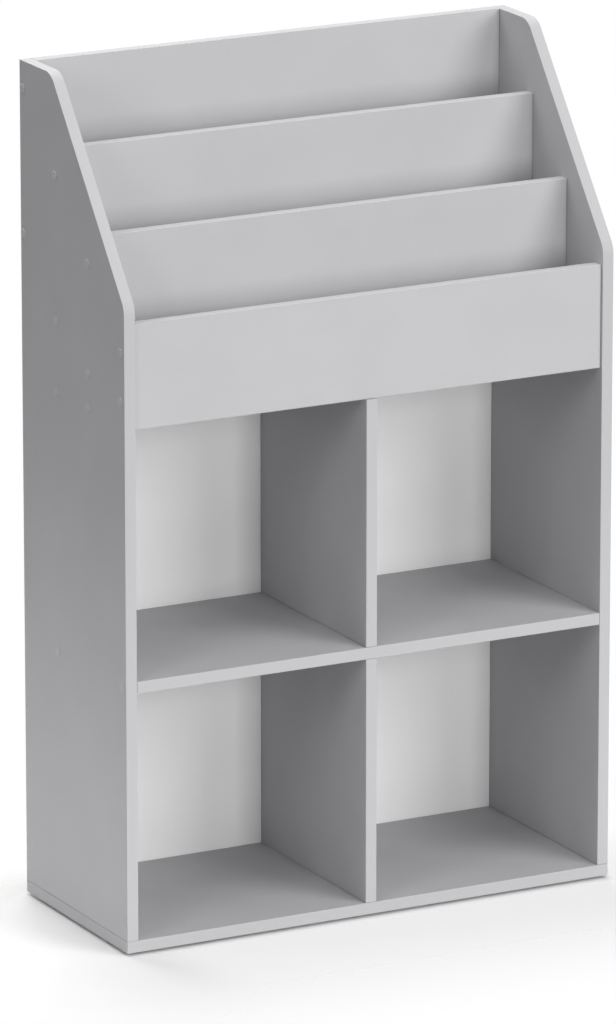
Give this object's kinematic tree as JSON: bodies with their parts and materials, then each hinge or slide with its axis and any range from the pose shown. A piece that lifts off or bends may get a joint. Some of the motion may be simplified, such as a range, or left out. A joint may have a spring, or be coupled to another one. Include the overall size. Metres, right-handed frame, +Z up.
{
  "type": "kids bookcase",
  "caption": "Kids' bookcase with open cubbies below and stepped book pockets between sloped side panels above, on small glides.",
  "frame": {"origin": "on the floor, under the middle of the bookcase's box", "axes": "+Z up, -Y to the front, +X to the right of someone who faces the front"},
  "size_m": [0.72, 0.3032, 1.139],
  "materials": {
    "faced_board": "light grey melamine-faced particle board, matte",
    "back_sheet": "white lacquered hardboard",
    "screw_steel": "zinc plated",
    "dowel_wood": "plain beech",
    "glide_plastic": "moulded"
  },
  "bodies": {
    "root": {"back_sheet": "back_sheet", "base_panel": "faced_board", "divider_front_dowel": "dowel_wood", "divider_rear_dowel": "dowel_wood", "front_left_glide": "glide_plastic", "front_middle_glide": "glide_plastic", "front_pocket_panel": "faced_board", "front_right_glide": "glide_plastic", "left_front_panel_lower_screw": "screw_steel", "left_front_panel_upper_screw": "screw_steel", "left_pocket_base_front_screw": "screw_steel", "left_pocket_base_rear_screw": "screw_steel", "left_rear_panel_lower_screw": "screw_steel", "left_rear_panel_upper_screw": "screw_steel", "left_second_panel_lower_screw": "screw_steel", "left_second_panel_upper_screw": "screw_steel", "left_shelf_front_screw": "screw_steel", "left_shelf_rear_screw": "screw_steel", "left_side_panel": "faced_board", "left_side_panel_foot_front_screw": "screw_steel", "left_side_panel_foot_rear_screw": "screw_steel", "left_third_panel_lower_screw": "screw_steel", "left_third_panel_upper_screw": "screw_steel", "lower_divider": "faced_board", "lower_divider_foot_front_screw": "screw_steel", "lower_divider_foot_rear_screw": "screw_steel", "middle_pocket_floor": "faced_board", "middle_pocket_floor_left_screw": "screw_steel", "middle_pocket_floor_right_screw": "screw_steel", "middle_shelf": "faced_board", "pocket_base_shelf": "faced_board", "rear_left_glide": "glide_plastic", "rear_middle_glide": "glide_plastic", "rear_pocket_floor": "faced_board", "rear_pocket_floor_left_screw": "screw_steel", "rear_pocket_floor_right_screw": "screw_steel", "rear_pocket_panel": "faced_board", "rear_right_glide": "glide_plastic", "right_front_panel_lower_screw": "screw_steel", "right_front_panel_upper_screw": "screw_steel", "right_pocket_base_front_screw": "screw_steel", "right_pocket_base_rear_screw": "screw_steel", "right_rear_panel_lower_screw": "screw_steel", "right_rear_panel_upper_screw": "screw_steel", "right_second_panel_lower_screw": "screw_steel", "right_second_panel_upper_screw": "screw_steel", "right_shelf_front_screw": "screw_steel", "right_shelf_rear_screw": "screw_steel", "right_side_panel": "faced_board", "right_side_panel_foot_front_screw": "screw_steel", "right_side_panel_foot_rear_screw": "screw_steel", "right_third_panel_lower_screw": "screw_steel", "right_third_panel_upper_screw": "screw_steel", "second_pocket_panel": "faced_board", "third_pocket_panel": "faced_board", "upper_divider": "faced_board", "upper_divider_head_front_screw": "screw_steel", "upper_divider_head_rear_screw": "screw_steel"}
  },
  "joints": []
}
